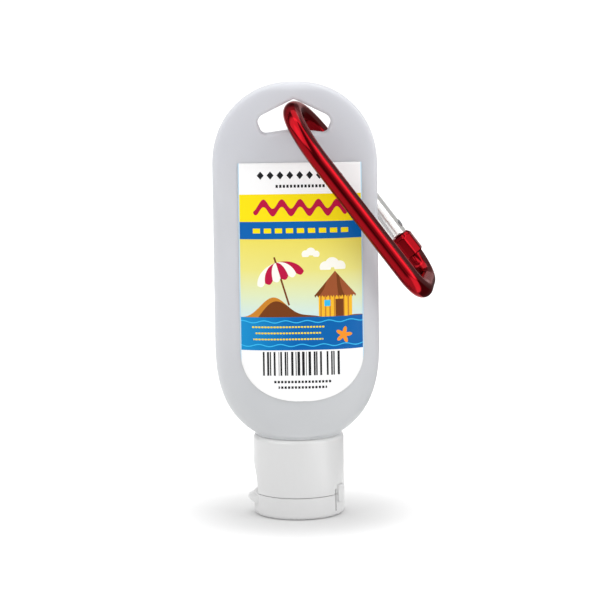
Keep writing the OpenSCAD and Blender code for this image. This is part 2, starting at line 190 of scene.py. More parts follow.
def mix(a, b, t):
    # a at t = 0 and b at t = 1, in a straight line between them
    return a + (b - a) * t


def smooth(t):
    # 3t^2 - 2t^3 between 0 and 1, level at both ends
    s = np.clip(t, 0, 1)
    return s * s * (3 - 2 * s)


def halfWidth(z):
    # straight sides, an elliptic arch above them and a rounded corner below them
    arch = halfW * bulge((z - archZ) / bs["archHeight"], bs["archPower"])
    foot = halfW * bulge(footCut * (footZ - z) / bs["footHeight"], bs["footPower"])
    return np.where(z > archZ, arch, np.where(z < footZ, foot, halfW))


def halfDepth(z):
    # an elliptic foot, then a wedge that thins upwards and eases into the flat tab
    s = np.clip((tabZ - z) / (tabZ - footZ), 0, 1)
    w = bs["wedgeStart"]
    eased = np.where(s < w, s * s / (2 * w), s - w / 2) / (1 - w / 2)
    wedge = mix(bs["tabThickness"] / 2, halfD, 1 - (1 - eased) ** bs["wedgePower"])
    foot = mix(bs["shoulderRadius"], halfD, bulge((footZ - z) / bs["footHeight"], 2))
    return np.where(z < footZ, foot, wedge)


def sectionPower(z):
    # a circle at the shoulder, a flat oval in the body, a plate with round edges in the tab
    foot = mix(2.0, bs["bodyPower"], smooth((z - bs["shoulderZ"]) / bs["footHeight"]))
    tab = mix(bs["bodyPower"], bs["tabPower"], smooth((z - tabZ + bs["blendHeight"]) / bs["blendHeight"]))
    return np.where(z < footZ, foot, tab)


def edgeRound(z):
    # 1 below the top edge, then a quarter of an ellipse down to 0 at the top
    return bulge(np.maximum(0, z - topZ + bs["edgeHeight"]) / bs["edgeHeight"], 2)


def faceDepth(x, z):
    # distance of the front face from the middle plane
    return halfDepth(z) * edgeRound(z) * bulge(x / halfWidth(z), sectionPower(z))


def ovalRing(width, depth, power, z, count):
    # a superellipse |x/w|^n + |y/d|^n = 1, its points spaced evenly along it
    t = np.linspace(0, 2 * math.pi, 1601)    # steps fine enough to measure along
    c, s = np.cos(t), np.sin(t)
    x = width * np.sign(c) * np.abs(c) ** (2 / power)
    y = depth * np.sign(s) * np.abs(s) ** (2 / power)
    return np.column_stack([evenSteps(np.stack([x, y], axis=-1), count), np.full(count, z)])


# the hang hole's cutter

holeShape = {
    "halfWidth": 9.6, "endRadius": 2.4, "drop": 4.4, "gap": 8.3, "apexSoft": 0.9,
    "slope": 26.3,                    # degrees, the upper edges under the level
    "turn": -14,                      # degrees, where the round end passes into the lower corner
    "cornerRadius": 1.7, "cornerDrop": 0.95, "cornerIn": 0.5,
    "floorBend": (2.0, 0.04, 0.05),   # the soft bend in the floor's middle: half length, up, down
    "rim": 0.9, "rimTurn": 80,        # the rounding at both faces, and the degrees that it runs through
    "flare": (1.2, 0.3),              # outwards and past the face, where the cutter ends
}


def arc(cx, cz, radius, fromDeg, toDeg, count):
    # points round a circle, from one angle to the other
    a = np.radians(np.linspace(fromDeg, toDeg, count))
    return np.stack([cx + radius * np.cos(a), cz + radius * np.sin(a)], axis=-1)


def holeOutline(count):
    # the right half: soft apex, sloping edge, round end, lower corner, floor; then its mirror
    h = holeShape
    slope = math.radians(h["slope"])
    apexZ = topZ - h["drop"]
    endX = h["halfWidth"] - h["endRadius"]
    endZ = apexZ - endX * math.tan(slope) - h["endRadius"] / math.cos(slope)
    floorZ = apexZ - h["gap"]
    cornerX = h["halfWidth"] - h["cornerIn"] - h["cornerRadius"]
    cornerZ = floorZ - h["cornerDrop"] + h["cornerRadius"]
    floorSlope = math.atan(h["cornerDrop"] / cornerX)
    apex = arc(0, apexZ - h["apexSoft"] / math.cos(slope), h["apexSoft"], 90, 90 - h["slope"], 6)
    end = arc(endX, endZ, h["endRadius"], 90 - h["slope"], h["turn"], 16)
    corner = arc(cornerX, cornerZ, h["cornerRadius"], h["turn"], -90 - math.degrees(floorSlope), 14)
    bendX, bendUp, bendDown = h["floorBend"]
    floor = np.array([[bendX, floorZ - bendX * math.tan(floorSlope) + bendUp], [0, floorZ - bendDown]])
    right = np.concatenate([apex, end, corner, floor])
    left = right[::-1][1:-1] * [-1, 1]
    return evenSteps(np.concatenate([right, left, right[:1]]), count)


def makeHoleCutter(count=220):
    # the outline grows outwards near both faces along a quarter circle, which rounds the rim
    flat = holeOutline(count)
    along = np.roll(flat, -1, axis=0) - np.roll(flat, 1, axis=0)
    along /= np.linalg.norm(along, axis=1)[:, None]
    outward = np.stack([-along[:, 1], along[:, 0]], axis=-1)
    rim, half = holeShape["rim"], bs["tabThickness"] / 2
    a = np.radians(np.linspace(0, holeShape["rimTurn"], 9))
    side = np.stack([rim * (1 - np.cos(a)), half - rim + rim * np.sin(a)], axis=-1)
    side = np.concatenate([side, side[-1:] + [holeShape["flare"]]])
    profile = np.concatenate([side[::-1] * [1, -1], side])
    rings = []
    for grow, y in profile:
        wide = flat + grow * outward
        rings.append(np.column_stack([wide[:, 0], np.full(count, y), wide[:, 1]]))
    return sealedGrid(np.stack(rings))


# materials


def srgb(r, g, b):
    # a colour of 0 to 255, as the linear values that a shader takes
    v = np.array([r, g, b]) / 255.0
    return tuple(np.where(v <= 0.04045, v / 12.92, ((v + 0.055) / 1.055) ** 2.4)) + (1.0,)


class Field:
    # a number that changes over the surface, with arithmetic that adds Math nodes
    def __init__(self, tree, socket):
        self.tree, self.socket = tree, socket

    def calc(self, operation, *others):
        node = self.tree.nodes.new("ShaderNodeMath")
        node.operation = operation
        for place, value in enumerate((self, *others)):
            if isinstance(value, Field):
                self.tree.links.new(value.socket, node.inputs[place])
            else:
                node.inputs[place].default_value = value
        return Field(self.tree, node.outputs[0])

    def __add__(self, other):
        return self.calc("ADD", other)

    def __sub__(self, other):
        return self.calc("SUBTRACT", other)

    def __mul__(self, other):
        return self.calc("MULTIPLY", other)

    def __truediv__(self, other):
        return self.calc("DIVIDE", other)

    def below(self, other):
        return self.calc("LESS_THAN", other)

    def above(self, other):
        return self.calc("GREATER_THAN", other)

    def between(self, low, high):
        return self.above(low) * self.below(high)

    def wave(self):
        return self.calc("SINE")

    def size(self):
        return self.calc("ABSOLUTE")

    def both(self, other):
        return self.calc("MINIMUM", other)

    def either(self, other):
        return self.calc("MAXIMUM", other)


def newMaterial(name, color, roughness, metallic=0.0):
    material = bpy.data.materials.new(name)
    material.use_nodes = True
    tree = material.node_tree
    shader = tree.nodes["Principled BSDF"]
    shader.inputs["Base Color"].default_value = color
    shader.inputs["Roughness"].default_value = roughness
    shader.inputs["Metallic"].default_value = metallic
    return material, tree, shader


def axesOf(tree, vector):
    # the x, y and z of a vector, as three fields
    split = tree.nodes.new("ShaderNodeSeparateXYZ")
    tree.links.new(vector, split.inputs[0])
    return [Field(tree, socket) for socket in split.outputs]


def coordinates(tree):
    # the piece's own place in millimetres, as a vector and as its x, y and z
    place = tree.nodes.new("ShaderNodeTexCoord")
    scale = tree.nodes.new("ShaderNodeVectorMath")
    scale.operation = "SCALE"
    scale.inputs["Scale"].default_value = 1 / mm
    tree.links.new(place.outputs["Object"], scale.inputs[0])
    return scale.outputs[0], axesOf(tree, scale.outputs[0])


def makeGrainGroup():
    # noise stretched along a chosen direction, shared by every material
    group = bpy.data.node_groups.new("surfaceGrain", "ShaderNodeTree")
    for name, kind in (("Place", "NodeSocketVector"), ("Stretch", "NodeSocketVector"),
                       ("Scale", "NodeSocketFloat"), ("Detail", "NodeSocketFloat")):
        group.interface.new_socket(name=name, in_out="INPUT", socket_type=kind)
    group.interface.new_socket(name="Grain", in_out="OUTPUT", socket_type="NodeSocketFloat")
    enter, leave = group.nodes.new("NodeGroupInput"), group.nodes.new("NodeGroupOutput")
    stretch = group.nodes.new("ShaderNodeVectorMath")
    stretch.operation = "MULTIPLY"
    texture = group.nodes.new("ShaderNodeTexNoise")
    group.links.new(enter.outputs["Place"], stretch.inputs[0])
    group.links.new(enter.outputs["Stretch"], stretch.inputs[1])
    group.links.new(stretch.outputs[0], texture.inputs["Vector"])
    group.links.new(enter.outputs["Scale"], texture.inputs["Scale"])
    group.links.new(enter.outputs["Detail"], texture.inputs["Detail"])
    group.links.new(texture.outputs[0], leave.inputs["Grain"])
    return group


grainGroup = makeGrainGroup()


def noise(tree, vector, scale, detail=2.0, stretch=(1, 1, 1)):
    # a field of soft spots from 0 to 1; the scale is how many fit in one unit of the vector
    node = tree.nodes.new("ShaderNodeGroup")
    node.node_tree = grainGroup
    node.inputs["Stretch"].default_value = stretch
    node.inputs["Scale"].default_value = scale
    node.inputs["Detail"].default_value = detail
    tree.links.new(vector, node.inputs["Place"])
    return Field(tree, node.outputs["Grain"])


def blendColor(tree, mask, first, second):
    # the first colour where the mask is 0 and the second where it is 1
    node = tree.nodes.new("ShaderNodeMix")
    node.data_type = "RGBA"
    put = ((node.inputs["Factor"], mask), (node.inputs[6], first), (node.inputs[7], second))
    for socket, value in put:
        if isinstance(value, Field):
            tree.links.new(value.socket, socket)
        elif isinstance(value, bpy.types.NodeSocket):
            tree.links.new(value, socket)
        else:
            socket.default_value = value
    return node.outputs[2]


def ramp(tree, field, stops):
    # colours at places from 0 to 1, blended between
    node = tree.nodes.new("ShaderNodeValToRGB")
    elements = node.color_ramp.elements
    while len(elements) < len(stops):
        elements.new(0.5)
    for element, (place, color) in zip(elements, stops):
        element.position, element.color = place, color
    tree.links.new(field.socket, node.inputs[0])
    return node.outputs[0]


def rise(field, start, end):
    # a smooth step, 0 at the start and 1 at the end, which may be the lower of the two
    node = field.tree.nodes.new("ShaderNodeMapRange")
    node.interpolation_type = "SMOOTHSTEP"
    node.inputs["From Min"].default_value, node.inputs["From Max"].default_value = start, end
    field.tree.links.new(field.socket, node.inputs["Value"])
    return Field(field.tree, node.outputs[0])


def vary(field, middle, amount):
    # a noise of 0 to 1, as a value that varies around its middle
    return field * amount + (middle - amount / 2)


def finish(tree, shader, color, rough):
    tree.links.new(color, shader.inputs["Base Color"])
    tree.links.new(rough.socket, shader.inputs["Roughness"])


def addScatter(shader, weight, depth):
    # light soaks into a milky plastic by a depth in metres, the same for all colours
    shader.inputs["Subsurface Weight"].default_value = weight
    shader.inputs["Subsurface Radius"].default_value = (1.0, 1.0, 1.0)
    shader.inputs["Subsurface Scale"].default_value = depth


def addBump(tree, shader, height, strength, distance):
    # the distance is in millimetres
    bump = tree.nodes.new("ShaderNodeBump")
    bump.inputs["Strength"].default_value = strength
    bump.inputs["Distance"].default_value = distance * mm
    tree.links.new(height.socket, bump.inputs["Height"])
    tree.links.new(bump.outputs[0], shader.inputs["Normal"])


# frosted, milky bottle: a fine grain, a faint cloudiness, the mould's parting line and a painted shade
# that darkens the body towards the bottom
frosted = {
    "body": (211, 212, 217), "low": (206, 208, 210),
    "fade": (24, 60),                 # mm, heights between which the low tone, a painted shade, turns to body
    "cloud": (196, 200, 208), "cloudScale": 0.06, "cloudShare": 0.12,
    "roughness": 0.42, "grainScale": 2.2, "grainHeight": 0.25,
    "seamHalf": 0.09, "seamHeight": 0.8, "bump": (0.5, 0.05),
    "scatter": (0.55, 0.003), "ior": 1.5, "specular": 0.3,
}


def frostedPlastic():
    f = frosted
    material, tree, shader = newMaterial("frostedPlastic", srgb(*f["body"]), f["roughness"])
    place, (_, y, z) = coordinates(tree)
    cloud = noise(tree, place, f["cloudScale"], 3.0)
    grain = noise(tree, place, f["grainScale"], 3.0)
    # the lower body takes a darker tone: painted shade
    tone = blendColor(tree, rise(z, *f["fade"]), srgb(*f["low"]), srgb(*f["body"]))
    tone = blendColor(tree, cloud * f["cloudShare"], tone, srgb(*f["cloud"]))
    finish(tree, shader, tone, vary(grain, f["roughness"], 0.10))
    seam = y.size().below(f["seamHalf"]) * f["seamHeight"]
    addBump(tree, shader, grain * f["grainHeight"] + seam, *f["bump"])
    addScatter(shader, *f["scatter"])
    shader.inputs["IOR"].default_value = f["ior"]
    shader.inputs["Specular IOR Level"].default_value = f["specular"]
    return material


# bottle mesh


def makeBottle(count=240):
    # one closed skin: bore, hollow and its round end inside, then lip, neck, shoulder and body outside
    wall, end = bs["wall"], bs["hollowEnd"]
    lip, neck, bore, shoulder = bs["lipZ"], bs["neckRadius"], bs["boreRadius"], bs["shoulderZ"]
    collar, collarZ, foot = bs["collarRadius"], bs["collarZ"], bs["shoulderRadius"]
    hollowTop = tabZ - wall

    def hollowRing(z):
        # towards its end the hollow closes to nothing in depth and to 0.6 in width
        close = bulge(max(0.0, z - hollowTop + end) / end, 2)
        return ovalRing((halfWidth(z) - wall) * mix(0.6, 1, close), (halfDepth(z) - wall) * close,
                        float(sectionPower(z)), z, count)

    def disc(radius, z):
        return ovalRing(radius, radius, 2.0, z, count)

    def skinRing(z):
        depth = float(halfDepth(z) * edgeRound(z))
        return ovalRing(float(halfWidth(z)), depth, float(sectionPower(z)), z, count)

    zHollow = np.concatenate([
        np.linspace(shoulder + wall, hollowTop - end, 26),
        hollowTop - end + end * np.sin(np.radians(np.linspace(6, 88, 14)))])
    rings = [hollowRing(z) for z in zHollow[::-1]]
    rings += [disc(bore, shoulder + wall - 0.05), disc(bore, shoulder)]
    # the lip, with its edges rounded by 0.2 mm inside and 0.3 mm outside
    rings += [disc(bore, lip + 0.2), disc(bore + 0.06, lip + 0.06), disc(bore + 0.2, lip),
              disc(neck - 0.3, lip), disc(neck - 0.09, lip + 0.09), disc(neck, lip + 0.3)]
    # the straight collar, its edges broken by about 0.1 mm, and the start of the shoulder
    rings += [disc(neck, collarZ), disc(collar - 0.12, collarZ), disc(collar, collarZ + 0.08),
              disc(collar, shoulder - 0.06), disc(collar + 0.04, shoulder),
              disc(foot - 0.2, shoulder), disc(foot - 0.05, shoulder + 0.05)]
    zSkin = np.concatenate([
        shoulder + bs["footHeight"] * np.linspace(0.02, 1, 34, endpoint=False) ** 1.15,
        np.linspace(footZ, archZ, 44, endpoint=False),
        archZ + bs["archHeight"] * np.sin(np.radians(np.linspace(0, 88.5, 60)))])
    rings += [skinRing(z) for z in zSkin]
    bottle = makeObject("bottle", *sealedGrid(np.stack(rings)), frostedPlastic(), None)
    cutter = makeObject("holeCutter", *makeHoleCutter(), bottle.data.materials[0], None)
    for piece in (bottle, cutter):
        fixNormals(piece)
    cut = bottle.modifiers.new("hangHole", "BOOLEAN")
    cut.object, cut.operation, cut.solver = cutter, "DIFFERENCE", "EXACT"
    applyModifiers(bottle)
    bpy.data.objects.remove(cutter)
    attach(bottle, "bottle")
    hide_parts("bottle_body")
    return bottle


bottle = makeBottle()
print("bottle made", len(bottle.data.polygons))

# screw thread on the neck and in the cap

threadShape = {
    "lead": 3.175, "from": 10.8, "turns": 1.75, "capTurns": 1.5, "capWall": 10.3,
    "depth": 0.95, "rootWidth": 1.25, "tipWidth": 0.55,
    "sink": 0.2,                      # how far the root reaches into the wall
    "crest": 0.9, "crestSoft": 0.05,  # where the crest's broken edges begin, and their width
    "runOut": 35.0,                   # degrees
}


def makeThread(name, wallRadius, towards, start, turns, material, body, node):
    # a trapezoid wound up the lead, its height fading out over the first and last degrees;
    # towards is 1 for a ridge that points outwards and -1 for one that points in
    t = threadShape
    angle = np.radians(np.arange(0, turns * 360 + 1, 3.0))
    fade = smooth(np.minimum(angle, angle[-1] - angle) / math.radians(t["runOut"]))
    middle = start + t["lead"] * angle / (2 * math.pi)
    root, tip, soft = t["rootWidth"] / 2, t["tipWidth"] / 2, t["crestSoft"]
    sunk, foot = 0 * fade - t["sink"], 0 * fade
    crest, top = t["crest"] * t["depth"] * fade, t["depth"] * fade
    corners = ((sunk, -root), (foot, -root), (crest, -tip - soft), (top, -tip + soft),
               (top, tip - soft), (crest, tip + soft), (foot, root), (sunk, root))
    rings = []
    for reach, up in corners:
        r = wallRadius + towards * reach
        rings.append(np.stack([r * np.cos(angle), r * np.sin(angle), middle + up], axis=-1))
    ridge = makeObject(name, *sealedGrid(np.stack(rings, axis=1)), material, body)
    fixNormals(ridge)
    markSharp(ridge, 30)
    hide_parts(node)
    return ridge


neckThread = makeThread("neckThread", bs["neckRadius"], 1, threadShape["from"], threadShape["turns"],
                        bottle.data.materials[0], "bottle", "bottle_body")
print("neck thread made")

# label

labelShape = {"width": 32.6, "height": 62.2, "round": 14.0, "up": 10.0, "shift": 1.3, "glue": 0.1,
              "thickness": 0.15, "power": 2.3}


def labelHalf(z):
    # half the width at a height: straight sides, and a superellipse at the lower end
    low = bs["shoulderZ"] + labelShape["up"]
    t = np.maximum(0, low + labelShape["round"] - z) / labelShape["round"]
    return labelShape["width"] / 2 * bulge(t, labelShape["power"])


def makeLabel():
    # x runs across between the two edges at each height, y follows the bottle's face
    low = bs["shoulderZ"] + labelShape["up"]
    high = low + labelShape["height"]
    # rows close together at the lower end, then even ones
    curve = labelShape["round"] * (1 - np.sin(np.radians(np.linspace(86, 0, 40, endpoint=False))))
    z = np.concatenate([low + curve, np.linspace(low + labelShape["round"], high, 70)])
    zz, tt = np.meshgrid(z, np.linspace(-1, 1, 61), indexing="ij")
    xx = labelShape["shift"] + labelHalf(zz) * tt
    depth = faceDepth(xx, zz) + labelShape["glue"]
    front = np.stack([xx, -depth - labelShape["thickness"], zz], axis=-1)
    back = np.stack([xx, -depth, zz], axis=-1)
    rings = np.concatenate([front, back[:, ::-1]], axis=1)
    label = makeObject("frontLabel", *sealedGrid(rings), labelPrint(), "bottle")
    fixNormals(label)
    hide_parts("front_label")


# the print: every place is in millimetres, across from the label's middle and up from the floor
printColors = {
    "paper": srgb(254, 254, 254), "yellow": srgb(254, 228, 14), "blue": srgb(0, 98, 176),
    "berry": srgb(190, 18, 66), "ink": srgb(30, 30, 34), "water": srgb(0, 102, 178),
    "foam": srgb(60, 190, 240), "sand": srgb(205, 132, 42), "shade": srgb(120, 62, 24),
    "sail": srgb(252, 250, 240), "gold": srgb(250, 190, 45), "thatch": srgb(158, 84, 46),
    "edge": srgb(196, 226, 244), "star": srgb(246, 150, 40),
}
printBands = {"yellow": (79.45, 86.5), "blue": (74.95, 79.45), "picture": (54.8, 74.95),
              "water": (46.1, 54.8), "bars": (39.3, 45.7)}
skyStops = [(0.0, srgb(206, 232, 238)), (0.3, srgb(224, 234, 192)), (0.62, srgb(236, 228, 132)),
            (1.0, srgb(238, 222, 96))]
seaStops = [(0.0, srgb(20, 146, 208)), (0.45, printColors["water"]), (1.0, srgb(0, 96, 170))]


class Print:
    # the colour painted so far, over the place across (u) and up (z)
    def __init__(self, tree, x, z):
        self.tree, self.u, self.z = tree, x - labelShape["shift"], z
        self.color = printColors["paper"]

    def paint(self, mask, color):
        ink = printColors[color] if isinstance(color, str) else color
        self.color = blendColor(self.tree, mask, self.color, ink)

    def disc(self, cx, cz, radius):
        dx, dz = self.u - cx, self.z - cz
        return (dx * dx + dz * dz).below(radius * radius)

    def cells(self, pitch, offset=0.0):
        # place within a repeating cell, from -pitch/2 to pitch/2
        return (self.u + offset).calc("WRAP", pitch / 2, -pitch / 2)

    def dashes(self, color, level, reach, pitch, half, offset=0.0, middle=0.0):
        # a row of dashes at one level, as far as it reaches from its middle; half is their half size
        row = (self.z - level).size().below(half[1]).both((self.u - middle).size().below(reach))
        self.paint(row.both(self.cells(pitch, offset).size().below(half[0])), color)


def rectangle(x, z, middle, half, low, high):
    # 1 inside an upright rectangle, given by its middle and half width across and by its two levels
    return (x - middle).size().below(half).both(z.between(low, high))


def paintBands(p):
    for name in ("yellow", "blue"):
        p.paint(p.z.between(*printBands[name]), name)
    sky = ramp(p.tree, (p.z - 54.0) / 21.0, skyStops)
    p.paint(p.z.between(*printBands["picture"]), sky)


def paintStrips(p):
    # white strip: a row of lozenges, |x| * 1.15 + |z| < 1.05, over a dotted rule
    lozenge = (p.cells(2.6).size() * 1.15 + (p.z - 91.3).size()).below(1.05)
    p.paint(lozenge.both(p.u.size().below(11.7)), "ink")
    p.dashes("ink", level=88.5, reach=6.6, pitch=0.95, half=(0.3, 0.38), offset=0.4)
    # yellow strip: a bold raspberry sine wave, its ends narrowed to a round tip
    swell = p.z - 83.0 - (p.u * 1.3 + math.pi / 2).wave() * 1.2
    thick = ((p.u.size() * -1.0 + 12.4) * 0.9).both(1.0).either(0.0).calc("POWER", 0.5)
    p.paint((swell.size() - thick).below(0.0), "berry")
    # blue strip: yellow dashes
    p.dashes("yellow", level=77.1, reach=12.6, pitch=2.9, half=(0.95, 0.62))


cloudPuffs = ((6.4, 67.6, 1.5), (8.2, 68.2, 1.9), (10.2, 67.7, 1.5),    # across, up, radius
              (1.2, 71.0, 1.0), (2.6, 71.4, 1.3), (4.0, 71.0, 0.9))


def paintClouds(p):
    # discs cut flat a little under their middles
    for cx, cz, radius in cloudPuffs:
        p.paint(p.disc(cx, cz, radius).both(p.z.above(cz - 0.7)), "sail")


def paintHut(p):
    # a beach hut: golden wall of planks, dark door, window, thatched roof with a wavy fringe
    x, z = p.u - 8.9, p.z - 55.4
    wall = rectangle(x, z, 0.0, 4.4, -0.8, 5.6)
    p.paint(wall, "gold")
    p.paint(wall.both((x + 0.2).calc("WRAP", 0.6, -0.6).size().below(0.2)), "sand")
    p.paint(rectangle(x, z, 1.1, 1.05, -0.8, 3.9), "shade")
    p.paint(rectangle(x, z, -2.1, 0.8, 2.1, 3.7), "foam")
    fringe = z - (x * 4.2).wave().size() * 0.55
    roof = fringe.above(4.3).both((x.size() * 1.15 + z).below(11.2)).both(x.size().below(5.7))
    p.paint(roof, "thatch")
    straw = (x * 2.3 + (z - 11.0) * x * 0.22).wave().above(0.72)
    p.paint(roof.both(straw), "shade")


def paintDune(p):
    # a dune in the form of a bell curve with a slight wave, its right side in shade
    across = (p.u + 7.0) * 0.19
    crest = (across * across * -1.0).calc("EXPONENT") * 5.0 + (p.u * 0.55).wave() * 0.35 + 54.7
    onDune = (p.z - crest).below(0.0).both(p.z.above(printBands["picture"][0]))
    p.paint(onDune, "sand")
    p.paint(onDune.both((p.z - crest + 1.3 - (p.u + 8.0) * 0.30).below(0.0)), "shade")


def paintParasol(p, lean=math.radians(17), wide=42.0, high=24.0, pleats=1.45):
    # a leaning parasol, x across it and z up its pole: an elliptic dome over scallops |sin|, with
    # stripes that come together at the top; wide and high are its half width and height, squared
    dx, dz = p.u + 5.2, p.z - 64.2
    x = dx * math.cos(lean) + dz * math.sin(lean)
    z = dz * math.cos(lean) - dx * math.sin(lean)
    p.paint(x.size().below(0.24).both(z.between(-6.6, 6.4)), "shade")
    dome = (x * x / wide + z * z / high).below(1.0)
    canopy = dome.both(z.above((x * pleats).wave().size() * -0.75 + 0.75))
    p.paint(canopy, "sail")
    ring = (z * z / -high + 1.0).either(0.02).calc("SQRT")
    p.paint(canopy.both((x / ring * pleats).wave().above(0.0)), "berry")


def paintSea(p):
    # a blend from left to right, two ripples, three fill-in lines and a starfish
    inSea = p.z.between(*printBands["water"])
    p.paint(inSea, ramp(p.tree, p.u / 34.0 + 0.5, seaStops))
    for level, phase in ((53.6, 0.0), (47.4, 1.6)):
        ripple = (p.z - level - (p.u * 1.1 + phase).wave() * 0.28).size().below(0.13)
        p.paint(ripple.both(inSea), "foam")
    for level, reach in ((52.2, 9.6), (50.6, 8.6), (49.0, 9.2)):
        p.dashes("yellow", level, reach, pitch=0.8, half=(0.29, 0.2), middle=-3.6)
    x, z = p.u - 11.0, p.z - 49.9
    arm = ((z.calc("ARCTAN2", x) * 5.0 + 1.2).wave() * 0.42 + 1.0) * 1.55
    p.paint((x * x + z * z).calc("SQRT").below(arm), "star")


def paintBars(p):
    # plain bars of mixed widths, where three sine waves add up to more than 0.05; two dotted rules
    bars = (p.u * 4.1).wave() + (p.u * 6.7 + 0.6).wave() * 0.8 + (p.u * 11.3 + 2.0).wave() * 0.45
    barField = p.z.between(*printBands["bars"]).both(p.u.size().below(10.4))
    p.paint(barField.both(bars.above(0.05)), "ink")
    for level, reach in ((37.6, 7.6), (36.1, 6.4)):
        p.dashes("ink", level, reach, pitch=0.9, half=(0.3, 0.33))


film = {"cutEdge": 0.28, "roughness": 0.33, "specular": 0.14, "mottleScale": 0.9, "bump": (0.25, 0.04)}


def labelPrint():
    material, tree, shader = newMaterial("labelPrint", printColors["paper"], film["roughness"])
    place, (x, _, z) = coordinates(tree)
    p = Print(tree, x, z)
    for paintPart in (paintBands, paintStrips, paintClouds, paintHut,
                      paintDune, paintParasol, paintSea, paintBars):
        paintPart(p)
    p.paint(p.u.size().above(labelShape["width"] / 2 - film["cutEdge"]), "edge")
    mottle = noise(tree, place, film["mottleScale"])
    finish(tree, shader, p.color, vary(mottle, film["roughness"], 0.10))
    addBump(tree, shader, mottle, *film["bump"])
    shader.inputs["Specular IOR Level"].default_value = film["specular"]
    return material


makeLabel()
print("label made")

# snap hook

hookShape = {
    "length": 62.8, "width": 22.0, "rod": 5.0, "gate": 4.7, "noseAt": 13.8, "blockAt": 47.5,
    "shoulderBend": 16.0, "spineCorner": 6.5, "gateCorner": 8.0, "blockWidth": 5.8, "blockLength": 6.4,
    "tongue": 2.0, "tongueIn": 1.2, "tongueLength": 3.3, "tongueRoot": 0.8, "gap": 0.3,
    "pin": 1.0, "pinIn": 0.6, "pinUnder": 1.9, "pinGap": 0.1,
    "bend": 35.0, "hang": 36.5, "twist": 7.0,      # degrees
    "origin": (-0.3, 0.0, 107.75),                 # the rod's middle, where it hangs in the hole
}
hs = hookShape
rodR, gateR, gateX = hs["rod"] / 2, hs["gate"] / 2, hs["width"] / 2
bendCos, bendSin = math.cos(math.radians(hs["bend"])), math.sin(math.radians(hs["bend"]))
endBend = (gateX - hs["shoulderBend"] * (1 - bendCos)) / bendCos
bottomZ = -(hs["length"] - hs["rod"])
topStraightZ = -endBend + (endBend - hs["shoulderBend"]) * bendSin
noseZ, blockZ = rodR - hs["noseAt"], rodR - hs["blockAt"]
pivotZ = blockZ + gateR + hs["gap"]
noseDeg = math.degrees(math.asin((noseZ - topStraightZ) / hs["shoulderBend"]))
hang, twist = math.radians(hs["hang"]), math.radians(hs["twist"])
hookX = np.array([math.sin(twist) * math.cos(hang), math.cos(twist), math.sin(twist) * math.sin(hang)])
hookZ = np.array([-math.sin(hang), 0.0, math.cos(hang)])
hookY = np.cross(hookZ, hookX)


def inHook(points):
    # from the hook's own upright plane to its place in the hang hole
    p = np.asarray(points, float)
    return np.array(hs["origin"]) + p[..., :1] * hookX + p[..., 1:2] * hookY + p[..., 2:] * hookZ


def rodPath(step=2.0):
    # the rod's middle line as arcs, each point with the outward direction there in degrees
    def bend(x, z, radius, start, stop):
        a = np.linspace(start, stop, max(3, int(abs(stop - start) / step)))
        r = np.radians(a)
        return np.stack([x + radius * np.cos(r), z + radius * np.sin(r), a], axis=-1)
    low, corner = hs["spineCorner"], hs["gateCorner"]
    parts = [
        bend(gateX - hs["shoulderBend"], topStraightZ, hs["shoulderBend"], noseDeg, hs["bend"]),
        bend(0, -endBend, endBend, hs["bend"], 180 - hs["bend"])[1:],
        bend(hs["shoulderBend"] - gateX, topStraightZ, hs["shoulderBend"], 180 - hs["bend"], 180)[1:],
        bend(low - gateX, bottomZ + low, low, 180, 270),
        bend(gateX - corner, bottomZ + corner, corner, 270, 360),
        np.array([[gateX, blockZ - hs["blockLength"] / 2, 360.0]])]
    return np.concatenate(parts)


def makeHookBody(edge=0.45, edgeLength=0.5):
    # a circle carried along the path, its first rings drawn in as the milled edge of the nose
    path = rodPath()
    run = lengthAlong(path[:, :2])
    # places close together over the nose's edge, then even ones
    at = np.unique(np.concatenate([[0, 0.12, 0.3, 0.55], np.linspace(1.0, run[-1], 300)]))
    line = np.stack([np.interp(at, run, path[:, k]) for k in range(3)], axis=-1)
    radius = np.interp(at, [0, edgeLength], [rodR - edge, rodR])
    phi = np.linspace(0, 2 * math.pi, 64, endpoint=False)
    out = radius[:, None] * np.cos(phi)
    a = np.radians(line[:, 2])[:, None]
    rings = np.stack([line[:, :1] + out * np.cos(a), radius[:, None] * np.sin(phi) + 0 * a,
                      line[:, 1:2] + out * np.sin(a)], axis=-1)
    # along the rod, and from one flank to the other
    uvs = np.stack(np.broadcast_arrays(at[:, None] / 10, np.sin(phi)), axis=-1).reshape(-1, 2)
    rod = makeObject("hookRod", *sealedGrid(inHook(rings)), redAnodised(True), "hook", uvs)
    fixNormals(rod)
    return rod


def octagonRings(levels):
    # an octagon with softly rounded corners at each level: (height, half width, corner cut)
    phi = np.linspace(0, 2 * math.pi, 160, endpoint=False)
    turn = np.abs((phi + math.pi / 8) % (math.pi / 4) - math.pi / 8)
    rings = []
    for z, half, limit in levels:
        r = np.minimum(half / np.cos(turn), limit)
        rings.append(np.stack([gateX + r * np.cos(phi), r * np.sin(phi), np.full(phi.shape, z)], axis=-1))
    return np.stack(rings)


def makePivotBlock(material, edge=0.35, soft=0.06, coneHeight=1.4, coneFoot=3.36):
    # an octagon with its lower edge broken, under a cone that meets its corners 1.1 mm and the
    # middles of its flats 0.7 mm below the top
    half, top, low = hs["blockWidth"] / 2, blockZ, blockZ - hs["blockLength"]
    corner = half / math.cos(math.pi / 8)
    cut = corner - soft
    levels = [(low, half - edge, cut - edge), (low + soft, half - 0.2, cut - 0.2), (low + edge, half, cut)]
    cone = np.linspace(0, 1, 8)
    levels += [(top - coneHeight - 0.1, half, cut)]
    levels += [(mix(top - coneHeight, top - 0.05, t), half, mix(coneFoot, rodR * 0.98, t)) for t in cone]
    levels += [(top, half, rodR * 0.9)]
    block = makeObject("pivotBlock", *sealedGrid(inHook(octagonRings(levels))), material, "hook")
    fixNormals(block)
    markSharp(block, 28)
    return block


